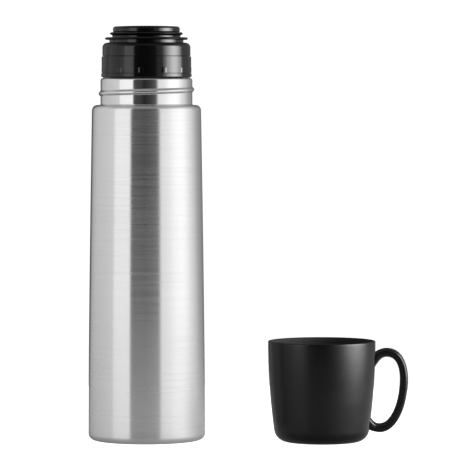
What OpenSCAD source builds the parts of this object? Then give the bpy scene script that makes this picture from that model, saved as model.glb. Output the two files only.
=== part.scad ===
// Vacuum flask with a pour-through screw stopper, and the mug that closes it.
// Millimetres, +Z up. The origin is the centre of the flask's foot, on the surface it stands on.
// The flask stands closed by its stopper, and the mug stands beside it with its handle along +X.

/* [Flask body] */
// Diameter of the steel jacket just above its foot
base_d = 86; // [85:0.5:88]
// Diameter of the jacket at its shoulder
shoulder_d = 80.1; // [79.5:0.1:82]
// Height of the shoulder above the surface the flask stands on
shoulder_h = 246.6; // [220:0.1:280]
// Radius of the corner round the foot
base_corner_r = 5; // [4:0.5:5.5]
// Radius of the corner round the shoulder
shoulder_corner_r = 3.5; // [2.5:0.5:3.5]
// How strongly the jacket bulges between foot and shoulder, where 1 is a straight taper
taper_power = 1.4; // [1:0.1:1.8]
// Thickness of the jacket's sheet
sheet = 0.7; // [0.6:0.05:0.8]
// Thickness of the inner bottle's sheet
inner_sheet = 0.5; // [0.4:0.05:0.6]
// Vacuum space between the jacket and the inner bottle
vacuum_gap = 3; // [2.5:0.1:3.5]

/* [Neck] */
// Outside diameter of the neck
neck_d = 67.5; // [67.2:0.1:68]
// Height of the neck above the shoulder
neck_h = 19.7; // [19:0.1:20]
// Diameter across the rolled bead that the mug screws onto
bead_d = 70.4; // [70.2:0.1:70.8]
// Height of the rolled bead
bead_w = 4.4; // [3.6:0.1:4.8]
// Rise of the rolled bead in one turn
bead_lead = 6.2; // [6:0.1:6.6]
// Bore of the mouth that the stopper goes into
mouth_d = 56; // [55.8:0.1:56.4]
// Bore of the throat below the stopper's seat
throat_d = 49; // [48.8:0.1:49.4]

/* [Stopper] */
// Diameter of the grip collar
collar_d = 65.8; // [65.6:0.1:66]
// Diameter of the collar's foot flange and of its grip ribs
rib_d = 66.4; // [66.4:0.1:67]
// Number of grip ribs round the collar
rib_count = 12; // [8:1:16]
// Angle that each grip rib covers
rib_angle = 5; // [3:0.5:8]
// Angle of the first grip rib from +X
rib_start = 264.5; // [255:0.5:285]
// Diameter of the shroud above the collar
shroud_d = 64.7; // [64.4:0.1:65]
// Radius of the shroud's rounded top edge
shroud_corner_r = 3.7; // [3:0.1:3.8]
// Rise of the stopper in one turn of its two-start thread
plug_lead = 8; // [7.6:0.1:8.4]
// Rise of the pour knob in one turn of its two-start thread
knob_lead = 9; // [8.6:0.1:9.4]

/* [Pour knob] */
// Diameter of the skirt that slides in the shroud
skirt_d = 54.4; // [54:0.1:54.6]
// Diameter of the wide lower ring
lower_ring_d = 61.3; // [60:0.1:62]
// Diameter of the waist between the two rings
waist_d = 50; // [49.6:0.1:51]
// Diameter of the narrow upper ring
upper_ring_d = 53.9; // [53:0.1:55]
// Diameter of the disc on top
top_disc_d = 49.2; // [48:0.1:50]

/* [Mug] */
// Diameter at the rim
mug_d = 78.7; // [78:0.1:79]
// Height of the mug
mug_h = 74; // [72:0.1:76]
// How much the radius shrinks from rim to foot
mug_taper = 4.25; // [3.5:0.05:4.5]
// Radius of the corner round the mug's foot
mug_corner_r = 10; // [8:0.5:11]
// Thickness of the mug's wall
mug_wall = 2.2; // [2:0.1:2.4]
// Thickness of the mug's floor
mug_floor = 3; // [2.6:0.1:3.4]
// Distance of the mug's axis from the flask's axis along +X
mug_x = 128.6; // [110:0.1:160]
// Distance of the mug's axis from the flask's axis along Y
mug_y = -14.5; // [-30:0.1:30]

/* [Mug handle] */
// Distance of the loop's centre from the mug's axis
loop_x = 45.1; // [44.8:0.1:46]
// Height of the loop's centre
loop_z = 37.8; // [36.8:0.1:38.8]
// Half length of the loop along its long axis, to the middle of the strap
loop_a = 27.9; // [27:0.1:28.4]
// Half width of the loop, to the middle of the strap
loop_b = 14.5; // [14:0.1:15.4]
// Lean of the loop's long axis away from the mug
loop_tilt = 9; // [8:0.5:12]
// Width of the strap along Y
strap_w = 15; // [12:0.5:18]
// Thickness of the strap at the side of the loop
strap_t = 5.9; // [5.4:0.1:6.4]
// Thickness of the strap at the two ends of the loop
strap_end_t = 6.3; // [6:0.1:7]

/* [Hidden] */
$fn = 96;
eps = 0.01;
// Depth to which ridges are sunk into the wall they stand on
buried = 0.3;

steel = [0.78, 0.78, 0.79];
bright_steel = [0.86, 0.86, 0.88];
black_plastic = [0.07, 0.07, 0.075];
black_mug = [0.13, 0.13, 0.14];
silicone = [0.75, 0.75, 0.72];
black_rubber = [0.15, 0.15, 0.15];

// ---- Jacket ----
base_r = base_d / 2;
shoulder_r = shoulder_d / 2;
neck_r = neck_d / 2;
neck_top = shoulder_h + neck_h;
neck_fillet_r = 0.8;
lip_r = 1;
straight_h = 12;
foot_ring_r = base_r - base_corner_r - 1.5;
taper_steps = 14;

// ---- Bottom pan ----
pan_z = 2.4;
port_recess_r = 8;
port_hole_r = 0.8;

// ---- Inner bottle ----
inner_corner_r = 6;
inner_join_z = 16;
inner_base_z = 8.5;
inner_base_corner_r = 6;
inner_top = shoulder_h - sheet - vacuum_gap - 0.3;
inner_weld_z = inner_top - inner_corner_r - inner_sheet;
mouth_r = mouth_d / 2;
throat_r = throat_d / 2;
seat_z0 = shoulder_h - 1.7;
seat_z1 = seat_z0 + mouth_r - throat_r;
mouth_thread_h = 1.2;

// ---- Stopper, in heights above the neck's lip ----
lip_gap = 1.3;
collar_z0 = neck_top + lip_gap;
flange_t = 2.2;
groove_t = 0.4;
rib_z0 = collar_z0 + flange_t + groove_t;
rib_h = 4.1;
collar_z1 = neck_top + 15.9;
deck_z = collar_z1 - 0.6;
deck_t = 2.5;
deck_r = shroud_d / 2 - 2.3;
shroud_z0 = collar_z1 + 0.35;
shroud_z1 = neck_top + 26;
shroud_plate_t = 2;
shroud_bore_r = skirt_d / 2 + 0.7;
plug_r = mouth_r - 1.7;
plug_bore_r = plug_r - 4;
plug_bottom = shoulder_h - 4.6;
nose_r = throat_r - 0.6;
gasket_z0 = seat_z0 + 0.6;
gasket_h = 2.6;
tower_r = 13.3;
tower_bore_r = 11.3;
tower_top = neck_top + 27.8;
window_h = 3.2;
window_w = 8;
gasket_groove_r = plug_r - 1.6;
lip_gasket_r0 = 29.5;
lip_gasket_r1 = 31.5;
lip_gasket_z1 = neck_top + 2.4;

// ---- Valve ----
floor_t = 3;
seat_boss_h = 1.6;
orifice_r = 7.5;
stem_r = 3.5;
stem_square = 7;
valve_head_r = 9.8;
valve_seal_z0 = plug_bottom + seat_boss_h + 0.2;
valve_seal_t = 2.3;
valve_head_t = 2.5;
guide_z0 = neck_top + 23.9;
guide_t = 3;

// ---- Pour knob ----
skirt_z0 = neck_top + 23.9;
ring2_z0 = neck_top + 27.9;
ring2_t = 2.2;
ring1_z0 = neck_top + 31.5;
ring1_t = 2.2;
disc_z0 = ring1_z0 + ring1_t;
disc_t = 4.9;
knob_bore_r = 23.2;
sleeve_r = 14.8;
sleeve_wall = 2;
sleeve_z0 = neck_top + 21.6;
roof_z = ring1_z0 + 0.2;
roof_hole_r = 12;
stem_plate_z = neck_top + 28.4;
stem_plate_t = 1.5;
oring_r = 0.7;

// ---- Mug ----
mug_r = mug_d / 2;
mug_lip_r = 0.8;
mug_thread_depth = 6.3;
mug_thread_tip_r = neck_r + 0.7;
mug_steps = 12;
mug_bulge = 2;
mug_lean = atan(mug_bulge * mug_taper / (mug_h - mug_corner_r));
loop_power = 2 / 2.2;
strap_power = 0.55;

// ---- Shared shapes ----

// Points of an arc round [x, z], from angle a0 to a1
function arc(x, z, r, a0, a1, n = 8) =
    [for (i = [0 : n]) let (a = a0 + (a1 - a0) * i / n) [x + r * cos(a), z + r * sin(a)]];

// Outside radius of the jacket at height z
function jacket_r(z) = z < straight_h ? base_r :
    base_r - (base_r - shoulder_r) * pow((z - straight_h) / (shoulder_h - straight_h), taper_power);

// Points up the tapered wall, moved inwards by inset, between two heights
function wall_points(inset, z0, z1) =
    [for (i = [0 : taper_steps]) let (z = z0 + (z1 - z0) * i / taper_steps) [jacket_r(z) - inset, z]];

// List of points in the other order
function backwards(p) = [for (i = [len(p) - 1 : -1 : 0]) p[i]];

// Section of a moulded thread: a trapezium, as [height above the wall, offset along the axis]
function thread_section(h, root_w, tip_w) =
    [[-buried, -root_w / 2], [h, -tip_w / 2], [h, tip_w / 2], [-buried, root_w / 2]];

// Section of a rolled bead: one wave that starts and ends inside the wall
function bead_section(h, w, n = 10) =
    [for (i = [0 : n]) [-buried + (h + buried) * pow(sin(180 * i / n), 2), w * (i / n - 0.5)]];

// Helical ridge on a wall of radius r, outside it (side 1) or inside it (side -1).
// It starts at angle a0 and height z0, and its height fades out at both ends.
module helix_ridge(section, r, lead, sweep, z0, a0, side = 1, fade = 28, per_turn = 60) {
    n = ceil(sweep * per_turn / 360);
    m = len(section);
    points = [for (k = [0 : n], p = section)
        let (t = sweep * k / n)
        let (grow = max(0.1, min(1, t / fade, (sweep - t) / fade)))
        let (radius = r + side * (grow * (p[0] + buried) - buried))
        [radius * cos(a0 + t), radius * sin(a0 + t), z0 + lead * t / 360 + p[1]]];
    q = [for (j = [0 : m - 1]) side > 0 ? j : m - 1 - j];
    walls = [for (k = [0 : n - 1], j = [0 : m - 1])
        let (a = m * k + q[j])
        let (b = m * k + q[(j + 1) % m])
        each [[a, b, b + m], [a, b + m, a + m]]];
    cap0 = [for (j = [1 : m - 2]) [q[0], q[j + 1], q[j]]];
    cap1 = [for (j = [1 : m - 2]) [m * n + q[0], m * n + q[j], m * n + q[j + 1]]];
    polyhedron(points, concat(walls, cap0, cap1));
}

// Ring with square edges
module ring(r0, r1, z0, z1) {
    rotate_extrude()
        translate([r0, z0]) square([r1 - r0, z1 - z0]);
}

// ---- Flask body ----

// Jacket: foot corner, tapered wall, shoulder, neck and lip drawn from one sheet
module outer_shell() {
    z_corner = shoulder_h - shoulder_corner_r;
    r_corner = jacket_r(z_corner) - shoulder_corner_r;
    outside = concat(
        [[foot_ring_r, 0]],
        arc(base_r - base_corner_r, base_corner_r, base_corner_r, -90, 0),
        wall_points(0, straight_h, z_corner),
        arc(r_corner, z_corner, shoulder_corner_r, 0, 90),
        arc(neck_r + neck_fillet_r, shoulder_h + neck_fillet_r, neck_fillet_r, 270, 180, 4),
        arc(neck_r - lip_r, neck_top - lip_r, lip_r, 0, 90, 5),
        [[mouth_r + inner_sheet, neck_top]]);
    inside = concat(
        [[mouth_r + inner_sheet, neck_top - sheet]],
        [[neck_r - sheet, neck_top - sheet]],
        [[neck_r - sheet, shoulder_h - sheet]],
        arc(r_corner, z_corner, shoulder_corner_r - sheet, 90, 0),
        backwards(wall_points(sheet, straight_h, z_corner)),
        arc(base_r - base_corner_r, base_corner_r, base_corner_r - sheet, 0, -90),
        [[foot_ring_r, sheet]]);
    bead_sweep = 300;
    color(steel) union() {
        rotate_extrude() polygon(concat(outside, inside));
        helix_ridge(bead_section(bead_d / 2 - neck_r, bead_w), neck_r, bead_lead, bead_sweep,
            shoulder_h + 9.8 - bead_lead * bead_sweep / 720, 270 - bead_sweep / 2);
    }
}

// Recessed pan that closes the jacket's foot, with a pocket for the pump-out hole
module bottom_pan() {
    rim = foot_ring_r - sheet;
    color(steel) difference() {
        rotate_extrude() polygon([
            [0, pan_z + 1.6], [port_recess_r, pan_z + 1.6], [port_recess_r, pan_z], [rim, pan_z],
            [rim, 0.2], [foot_ring_r, 0.2], [foot_ring_r, pan_z + sheet],
            [port_recess_r + sheet, pan_z + sheet], [port_recess_r + sheet, pan_z + 1.6 + sheet],
            [0, pan_z + 1.6 + sheet]]);
        cylinder(r = port_hole_r, h = 20);
    }
}

// Thin steel disc that hides the pocket
module port_cover() {
    color(steel) translate([0, 0, pan_z]) cylinder(r = port_recess_r - 0.1, h = 0.5);
}

// Drop of glass solder that closed the pump-out hole in the furnace
module vacuum_seal() {
    z = pan_z + 1.6;
    color([0.2, 0.3, 0.3]) rotate_extrude()
        polygon([[0, z - 0.9], [1, z - 0.8], [1.8, z - 0.4], [2, z - eps], [0, z - eps]]);
}

// Wall of the inner bottle, which follows the jacket's taper
module inner_wall() {
    inset = sheet + vacuum_gap;
    color(bright_steel) rotate_extrude() polygon(concat(
        wall_points(inset, inner_join_z, inner_weld_z),
        backwards(wall_points(inset + inner_sheet, inner_join_z, inner_weld_z))));
}

// Upper part of the inner bottle, welded to its wall: shoulder, throat, seat and threaded mouth
module inner_neck() {
    corner = inner_corner_r + inner_sheet;
    r_corner = jacket_r(inner_weld_z) - sheet - vacuum_gap - corner;
    outside = concat(
        arc(r_corner, inner_weld_z, corner, 0, 90),
        [[throat_r + inner_sheet, inner_top]],
        [[throat_r + inner_sheet, seat_z0 + 0.2]],
        [[mouth_r + inner_sheet, seat_z1 + 0.2]],
        [[mouth_r + inner_sheet, neck_top]]);
    inside = concat(
        [[mouth_r, neck_top], [mouth_r, seat_z1], [throat_r, seat_z0]],
        arc(throat_r + 1, inner_top - inner_sheet + 1, 1, 180, 270, 4),
        arc(r_corner, inner_weld_z, inner_corner_r, 90, 0));
    color(bright_steel) union() {
        rotate_extrude() polygon(concat(outside, inside));
        for (a = [0, 180])
            helix_ridge(thread_section(mouth_thread_h, 1.7, 0.8), mouth_r, plug_lead, 250,
                neck_top - 9, a, -1);
    }
}

// Dished bottom welded to the inner bottle's wall
module inner_base() {
    r = jacket_r(inner_join_z) - sheet - vacuum_gap;
    c = inner_base_corner_r;
    color(bright_steel) rotate_extrude() polygon(concat(
        [[0, inner_base_z]],
        arc(r - c, inner_base_z + c, c, 270, 360),
        [[r, inner_join_z], [r - inner_sheet, inner_join_z]],
        arc(r - c, inner_base_z + c, c - inner_sheet, 360, 270),
        [[0, inner_base_z + inner_sheet]]));
}

// Foil wrapped round the inner bottle to turn back radiant heat
module foil_shield() {
    inset = sheet + vacuum_gap - 0.9;
    z0 = inner_join_z + 4;
    z1 = inner_weld_z - 5.5;
    color([0.8, 0.72, 0.6]) rotate_extrude() polygon(concat(
        wall_points(inset, z0, z1), backwards(wall_points(inset + 0.3, z0, z1))));
}

// Pellet that soaks up stray gas in the vacuum space
module getter() {
    color([0.35, 0.35, 0.38]) translate([18, 0, inner_base_z - 1.6]) cylinder(r = 5, h = 1.6 - eps);
}

// Strap that holds the pellet under the inner base
module getter_clip() {
    color(steel) difference() {
        translate([8, -2, inner_base_z - 2]) cube([20, 4, 2 - eps]);
        translate([18, 0, inner_base_z - 1.6]) cylinder(r = 5.05, h = 2);
        for (x = [7, 24.5])
            translate([x, -3, inner_base_z - 3]) cube([4.5, 6, 2.6]);
    }
}

// ---- Stopper ----

// Loose rubber washer between the collar and the neck's lip
module lip_gasket() {
    color(black_rubber) ring(lip_gasket_r0, lip_gasket_r1, neck_top + 0.1, lip_gasket_z1);
}

// Grip collar: a foot flange, a shadow groove and low upright ribs, hollow inside
module stopper_collar() {
    r = collar_d / 2;
    top_edge = 0.4;
    color(black_plastic) union() {
        rotate_extrude() polygon([
            [plug_r + 0.1, collar_z0], [lip_gasket_r0 - 0.3, collar_z0],
            [lip_gasket_r0 - 0.3, lip_gasket_z1 + 0.2], [lip_gasket_r1 + 0.3, lip_gasket_z1 + 0.2],
            [lip_gasket_r1 + 0.3, collar_z0], [rib_d / 2 - 0.3, collar_z0],
            [rib_d / 2, collar_z0 + 0.3], [rib_d / 2, collar_z0 + flange_t],
            [r - 0.3, collar_z0 + flange_t], [r - 0.3, rib_z0], [r, rib_z0],
            [r, collar_z1 - top_edge], [r - top_edge, collar_z1], [deck_r + 0.2, collar_z1],
            [deck_r + 0.2, deck_z - 0.1], [r - 2.4, deck_z - 0.1],
            [r - 2.4, rib_z0], [plug_r + 2, rib_z0], [plug_r + 2, deck_z - 0.1],
            [plug_r + 0.1, deck_z - 0.1]]);
        for (i = [0 : rib_count - 1])
            rotate([0, 0, rib_start + i * 360 / rib_count - rib_angle / 2])
                rotate_extrude(angle = rib_angle) polygon([
                    [r - 1, rib_z0 - 0.1], [rib_d / 2, rib_z0 - 0.1],
                    [rib_d / 2, rib_z0 + rib_h - 0.5], [rib_d / 2 - 0.4, rib_z0 + rib_h],
                    [r - 1, rib_z0 + rib_h]]);
    }
}

// Rounded shroud above the collar, with the bore that the pour knob closes
module stopper_shroud() {
    r = shroud_d / 2;
    c = shroud_corner_r;
    t = shroud_plate_t;
    color(black_plastic) rotate_extrude() polygon(concat(
        [[deck_r + 0.2, shroud_z0], [r - 0.2, shroud_z0], [r, shroud_z0 + 0.2]],
        arc(r - c, shroud_z1 - c, c, 0, 90),
        arc(shroud_bore_r + 0.5, shroud_z1 - 0.5, 0.5, 90, 180, 4),
        [[shroud_bore_r, shroud_z1 - 4], [shroud_bore_r + 1.2, shroud_z1 - 4]],
        [[shroud_bore_r + 1.2, shroud_z1 - t]],
        arc(r - c, shroud_z1 - c, c - t, 90, 0, 4),
        [[deck_r + 0.2, shroud_z1 - c]]));
}

// Threaded plug, with the deck above it and the tower that guides and lifts the knob
module stopper_plug() {
    z_nose = gasket_z0;
    color(black_plastic) difference() {
        union() {
            rotate_extrude() polygon([
                [plug_bore_r, plug_bottom], [nose_r, plug_bottom], [nose_r, z_nose],
                [gasket_groove_r, z_nose], [gasket_groove_r, z_nose + gasket_h + 0.1],
                [plug_r, z_nose + gasket_h + 0.1], [plug_r, deck_z], [deck_r, deck_z],
                [deck_r, deck_z + deck_t], [tower_r, deck_z + deck_t], [tower_r, tower_top],
                [tower_bore_r, tower_top], [tower_bore_r, plug_bottom], [tower_r, plug_bottom],
                [tower_r, deck_z], [plug_bore_r, deck_z]]);
            for (a = [0, 180])
                helix_ridge(thread_section(1.3, 1.7, 0.8), plug_r, plug_lead, 230,
                    neck_top - 9 - plug_lead / 4 - plug_lead / 2, a, 1);
            for (a = [0, 180])
                helix_ridge(thread_section(1.1, 1.6, 0.8), tower_r, knob_lead, 130,
                    sleeve_z0 + 1.6, a, 1);
            translate([-5.5, -tower_bore_r - 0.5, guide_z0])
                cube([11, 2 * tower_bore_r + 1, guide_t]);
        }
        translate([0, 0, guide_z0 + guide_t / 2])
            cube([stem_square + 0.6, stem_square + 0.6, guide_t + 1], center = true);
        for (a = [45, 135])
            rotate([0, 0, a])
                translate([-20, -window_w / 2, deck_z + deck_t])
                    cube([40, window_w, window_h]);
    }
}

// Foam that insulates the plug
module foam_core() {
    color([0.9, 0.88, 0.8]) ring(tower_r + 0.2, plug_bore_r - 0.2, plug_bottom + 0.1, deck_z - 0.1);
}

// Plate welded under the plug, with the valve's seat round its orifice
module plug_floor() {
    z = plug_bottom;
    color(black_plastic) rotate_extrude() polygon([
        [orifice_r, z - floor_t], [nose_r - 0.8, z - floor_t], [nose_r, z - floor_t + 0.8],
        [nose_r, z], [orifice_r + 1.6, z], [orifice_r + 1.2, z + seat_boss_h],
        [orifice_r, z + seat_boss_h]]);
}

// Silicone ring that seals the plug on the seat in the neck
module plug_gasket() {
    z = gasket_z0;
    color(silicone) rotate_extrude() polygon([
        [gasket_groove_r, z], [gasket_groove_r + 0.2, z], [plug_r + 0.1, z + 1.9],
        [plug_r + 0.1, z + gasket_h], [gasket_groove_r, z + gasket_h]]);
}

// ---- Valve ----

// Stem with a square shank that can slide but not turn, and the valve's head below it
module valve_stem() {
    head_z = valve_seal_z0 + valve_seal_t;
    shank_z1 = stem_plate_z - 0.2;
    shank_z0 = guide_z0 - 5.3;
    color(black_plastic) union() {
        translate([0, 0, head_z]) cylinder(r = valve_head_r, h = valve_head_t);
        translate([0, 0, valve_seal_z0]) cylinder(r = 2.6, h = valve_seal_t + eps);
        translate([0, 0, head_z + valve_head_t - eps])
            cylinder(r1 = 6, r2 = stem_r, h = 3);
        translate([0, 0, head_z]) cylinder(r = stem_r, h = shank_z0 - head_z + eps);
        translate([-stem_square / 2, -stem_square / 2, shank_z0])
            cube([stem_square, stem_square, shank_z1 - shank_z0]);
        translate([0, 0, shank_z1 - eps]) cylinder(r = 3.3, h = stem_plate_t + 2);
    }
}

// Silicone disc under the valve's head
module valve_seal() {
    color(silicone) ring(2.7, valve_head_r - 0.2, valve_seal_z0, valve_seal_z0 + valve_seal_t - eps);
}

// Spring clip that hangs the stem from the knob
module stem_clip() {
    z = stem_plate_z + stem_plate_t + 0.2;
    color(steel) difference() {
        ring(3.32, 6, z, z + 0.8);
        translate([0, -1.2, z - 1]) cube([10, 2.4, 3]);
    }
}

// ---- Pour knob ----

// Ring edge of thickness t: a thin rounded lip on a tapering flange, from radius r0 out to r1
function lip_points(r0, r1, z, t) =
    concat([[r0, z]], arc(r1 - 0.7, z + t / 2, 0.7, -80, 80, 6), [[r0, z + t]]);

// Stepped knob: skirt, wide ring, waist, narrow ring, and a threaded sleeve inside
module pour_knob() {
    skirt_r = skirt_d / 2;
    waist_r = waist_d / 2;
    groove_z = skirt_z0 + 0.4;
    groove_h = 2 * oring_r + 0.1;
    groove_r = skirt_r + 0.2 - 2 * oring_r;
    outside = concat(
        [[knob_bore_r, skirt_z0], [skirt_r, skirt_z0], [skirt_r, groove_z], [groove_r, groove_z]],
        [[groove_r, groove_z + groove_h], [skirt_r, groove_z + groove_h]],
        lip_points(skirt_r, lower_ring_d / 2, ring2_z0, ring2_t),
        [[waist_r, ring2_z0 + ring2_t]],
        lip_points(waist_r, upper_ring_d / 2, ring1_z0, ring1_t),
        [[roof_hole_r, disc_z0], [roof_hole_r, roof_z]]);
    inside = [
        [sleeve_r, roof_z], [sleeve_r, stem_plate_z + stem_plate_t],
        [3.7, stem_plate_z + stem_plate_t], [3.7, stem_plate_z], [sleeve_r, stem_plate_z],
        [sleeve_r, sleeve_z0], [sleeve_r + sleeve_wall, sleeve_z0],
        [sleeve_r + sleeve_wall, roof_z], [knob_bore_r, roof_z]];
    color(black_plastic) union() {
        rotate_extrude() polygon(concat(outside, inside));
        for (a = [0, 180])
            helix_ridge(thread_section(1.1, 1.6, 0.8), sleeve_r, knob_lead, 130,
                sleeve_z0 + 1.6 + knob_lead / 4, a, -1);
    }
}

// Disc snapped into the top of the knob
module knob_disc() {
    r = top_disc_d / 2;
    c = 1.6;
    color(black_plastic) rotate_extrude() polygon(concat(
        [[0, roof_z + 0.5], [roof_hole_r - 0.1, roof_z + 0.5], [roof_hole_r - 0.1, disc_z0]],
        [[r - 0.1, disc_z0]],
        arc(r - c, disc_z0 + disc_t - c, c, 0, 85, 5),
        [[0, disc_z0 + disc_t + 0.2]]));
}

// O-ring between the knob's skirt and the shroud
module knob_o_ring() {
    groove_mid = skirt_z0 + 0.4 + oring_r + 0.05;
    color(black_rubber) rotate_extrude()
        translate([skirt_d / 2 + 0.2 - oring_r, groove_mid]) circle(r = oring_r, $fn = 24);
}

// ---- Mug ----

// Outside radius of the mug's wall at height z
function mug_wall_r(z) = mug_r - mug_taper * pow((mug_h - z) / (mug_h - mug_corner_r), mug_bulge);

// Point of the handle's loop: angle along the strap, and place in the strap's section
function loop_point(along, out, across) =
    let (a = loop_a + out * strap_end_t / 2)
    let (b = loop_b + out * strap_t / 2)
    let (x = b * soft(cos(along), loop_power))
    let (z = a * soft(sin(along), loop_power))
    [loop_x + x * cos(loop_tilt) + z * sin(loop_tilt), across * strap_w / 2,
        loop_z - x * sin(loop_tilt) + z * cos(loop_tilt)];

// Power of a sine or cosine that keeps its sign, which squares off a circle
function soft(v, power) = sign(v) * pow(abs(v), power);

// Strap of the handle, ending inside the mug's wall
module handle_strap() {
    from = -127;
    to = 147;
    n = 48;
    m = 20;
    points = [for (k = [0 : n], j = [0 : m - 1])
        loop_point(from + (to - from) * k / n,
            soft(cos(360 * j / m), strap_power), -soft(sin(360 * j / m), strap_power))];
    walls = [for (k = [0 : n - 1], j = [0 : m - 1])
        let (a = m * k + j)
        let (b = m * k + (j + 1) % m)
        each [[a, b, b + m], [a, b + m, a + m]]];
    cap0 = [for (j = [1 : m - 2]) [0, j + 1, j]];
    cap1 = [for (j = [1 : m - 2]) [m * n, m * n + j, m * n + j + 1]];
    polyhedron(points, concat(walls, cap0, cap1));
}

// Mug with its handle, moulded in one piece, with an inside thread below the rim
module mug() {
    c = mug_corner_r;
    wall_z0 = c * (1 - sin(mug_lean));
    foot_r = mug_wall_r(wall_z0) - c * cos(mug_lean);
    wall_z = [for (i = [1 : mug_steps]) wall_z0 + (mug_h - mug_lip_r - wall_z0) * i / mug_steps];
    inner_c = c - mug_floor + 0.8;
    lip_x = mug_r - mug_lip_r;
    color(black_mug) translate([mug_x, mug_y, 0]) union() {
        difference() {
            union() {
                rotate_extrude() polygon(concat(
                    [[0, 0.8], [foot_r - 2.5, 0.8], [foot_r - 1.7, 0]],
                    arc(foot_r, c, c, -90, -mug_lean),
                    [for (z = wall_z) [mug_wall_r(z), z]],
                    arc(lip_x, mug_h - mug_lip_r, mug_lip_r, 10, 90, 5),
                    [[0, mug_h]]));
                handle_strap();
            }
            rotate_extrude() polygon(concat(
                [[0, mug_floor]],
                arc(foot_r - 0.4, mug_floor + inner_c, inner_c, -90, -mug_lean),
                [for (z = wall_z) if (z > c + 3) [mug_wall_r(z) - mug_wall, z]],
                [[mug_r - 1.7, mug_h - 1.5]],
                arc(lip_x, mug_h - mug_lip_r, mug_lip_r, 180, 90, 5),
                [[lip_x, mug_h + 5], [0, mug_h + 5]]));
        }
        helix_ridge(thread_section(mug_r - mug_wall - mug_thread_tip_r, 3, 1.2),
            mug_wall_r(mug_h - mug_thread_depth) - mug_wall, bead_lead, 240,
            mug_h - mug_thread_depth - bead_lead / 3, 60, -1);
    }
}

outer_shell();
bottom_pan();
port_cover();
vacuum_seal();
inner_wall();
inner_neck();
inner_base();
foil_shield();
getter();
getter_clip();
lip_gasket();
stopper_collar();
stopper_shroud();
stopper_plug();
foam_core();
plug_floor();
plug_gasket();
valve_stem();
valve_seal();
stem_clip();
pour_knob();
knob_disc();
knob_o_ring();
mug();
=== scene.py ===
"""A one-litre vacuum flask with its stopper fitted, and the black mug that closes it standing beside it."""

import math

import bpy
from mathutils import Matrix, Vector


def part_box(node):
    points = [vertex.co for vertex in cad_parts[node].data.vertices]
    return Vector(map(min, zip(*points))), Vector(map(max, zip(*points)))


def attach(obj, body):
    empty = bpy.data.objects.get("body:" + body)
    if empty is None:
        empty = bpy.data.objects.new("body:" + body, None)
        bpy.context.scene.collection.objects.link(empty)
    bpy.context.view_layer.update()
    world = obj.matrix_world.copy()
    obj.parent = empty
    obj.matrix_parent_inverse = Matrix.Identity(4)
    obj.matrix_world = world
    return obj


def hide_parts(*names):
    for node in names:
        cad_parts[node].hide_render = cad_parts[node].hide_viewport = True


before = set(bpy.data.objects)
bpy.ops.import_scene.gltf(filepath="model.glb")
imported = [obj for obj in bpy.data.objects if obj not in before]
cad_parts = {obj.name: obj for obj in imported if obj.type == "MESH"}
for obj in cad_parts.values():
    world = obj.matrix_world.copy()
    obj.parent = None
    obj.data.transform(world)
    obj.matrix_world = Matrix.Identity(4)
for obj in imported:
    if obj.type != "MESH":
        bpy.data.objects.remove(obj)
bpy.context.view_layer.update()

# Lengths below are in millimetres, as in the CAD, and MM turns them into Blender's metres.
MM = 0.001


# ---------------------------------------------------------------- sizes, as in the CAD unless a comment differs

BASE_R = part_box("outer_shell")[1][0] / MM
NECK_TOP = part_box("outer_shell")[1][2] / MM
NECK_H = 19.7
SHOULDER_H = NECK_TOP - NECK_H
SHOULDER_R = 40.05
STRAIGHT_H = 12.0
TAPER_POWER = 1.4
SHEET = 0.7
BASE_CORNER_R = 5.0
# The shoulder and the lip are rounder than in the CAD, where they measure 3.5 and 1.0.
SHOULDER_CORNER_R = 4.1
LIP_R = 1.8
FOOT_RING_R = BASE_R - BASE_CORNER_R - 1.5
NECK_R = 33.75
NECK_FILLET_R = 0.8
MOUTH_R = 28.5

BEAD_H = 1.45
BEAD_W = 4.4
BEAD_LEAD = 6.2
BEAD_SWEEP = 300.0
BEAD_MID = SHOULDER_H + 9.8
# Degrees over which the bead and the mug's thread rise out of the wall at their ends.
THREAD_FADE = 26.0

COLLAR_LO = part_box("stopper_collar")[0][2] / MM
COLLAR_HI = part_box("stopper_collar")[1][2] / MM
COLLAR_R = 32.9
FLANGE_R = 33.2
FLANGE_T = 2.2
# The foot flange reaches half a millimetre lower than in the CAD.
COLLAR_FOOT = COLLAR_LO - 0.5
COLLAR_DECK = COLLAR_HI - 3.0
GROOVE_DEPTH = 0.4
RIB_H = 0.3
RIB_COUNT = 12
RIB_ANGLE = 5.0
RIB_EASE = 2.8
RIB_START = 264.5
RIB_LO = COLLAR_LO + 2.6
RIB_HI = RIB_LO + 4.1
PLUG_R = 26.3
# The washer is half a millimetre wider all round than in the CAD.
WASHER_R = 32.0
WASHER_BORE_R = 29.5
WASHER_LO = NECK_TOP + 0.1
WASHER_HI = NECK_TOP + 2.4
WASHER_SEAT_R = 29.2
WASHER_SEAT_Z = COLLAR_LO + 1.3

SHROUD_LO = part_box("stopper_shroud")[0][2] / MM
SHROUD_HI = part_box("stopper_shroud")[1][2] / MM
SHROUD_R = 32.35
SHROUD_CORNER_R = 3.7
SHROUD_BORE_R = 27.9
SHROUD_BORE_H = 4.0
SHROUD_WALL = 2.1
SHROUD_ROOF = 2.0

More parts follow.
